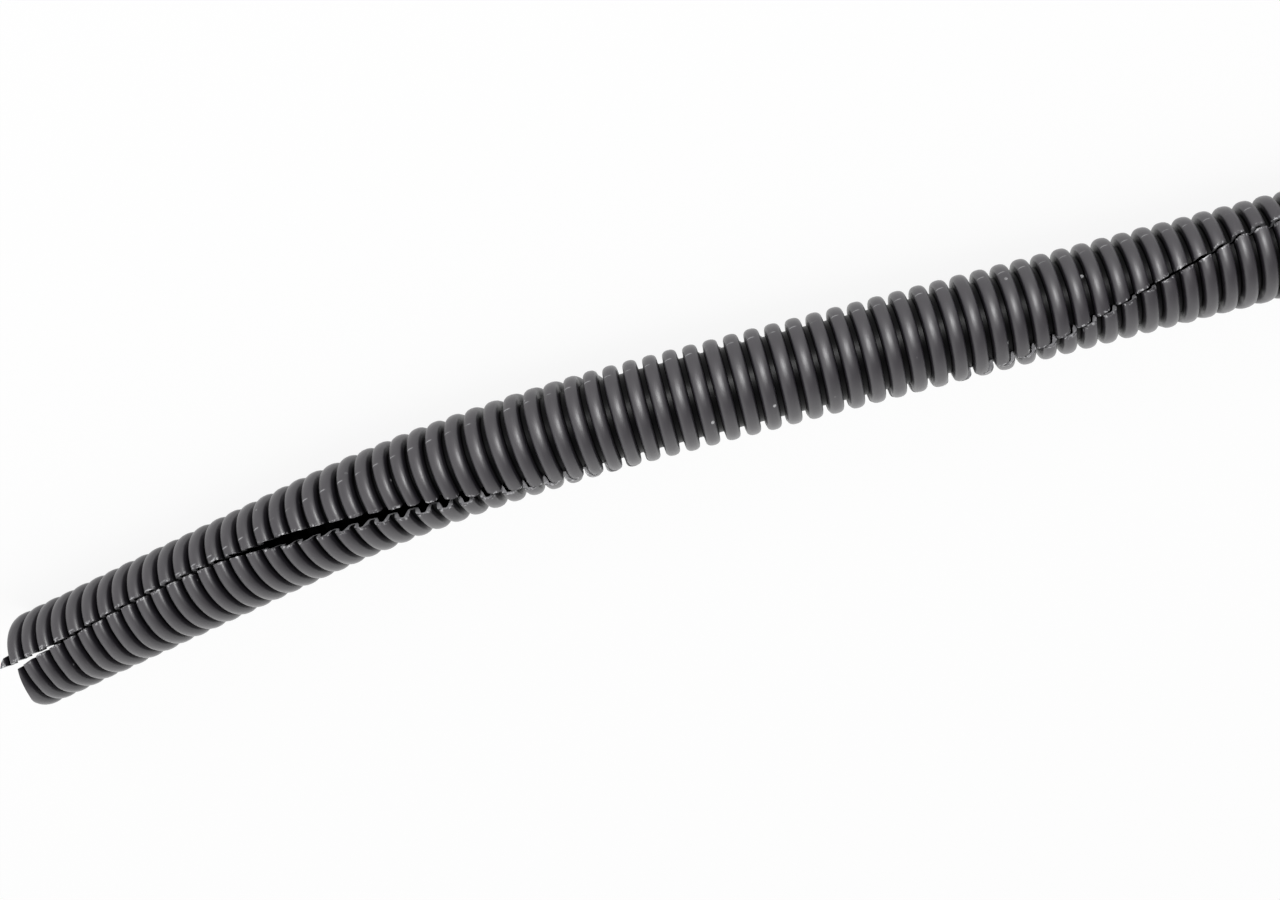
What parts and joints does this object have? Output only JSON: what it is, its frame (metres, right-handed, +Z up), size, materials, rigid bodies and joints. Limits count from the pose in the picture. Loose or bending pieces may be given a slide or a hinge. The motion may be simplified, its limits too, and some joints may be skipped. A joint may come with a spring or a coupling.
{
  "type": "corrugated conduit",
  "caption": "Black slit corrugated plastic conduit, a cut length that wires and small hoses are pressed into through its side slit, lying with a gentle bend near one end.",
  "frame": {"origin": "centre of the bounding box's bottom face, on the level surface that the conduit lies on", "axes": "+X along the long straight stretch towards its far cut end, +Z up, the free end's short stretch leans towards -Y"},
  "size_m": [0.9978, 0.0412, 0.013],
  "materials": {
    "black_plastic": "satin"
  },
  "bodies": {
    "root": {"conduit": "black_plastic"}
  },
  "joints": []
}
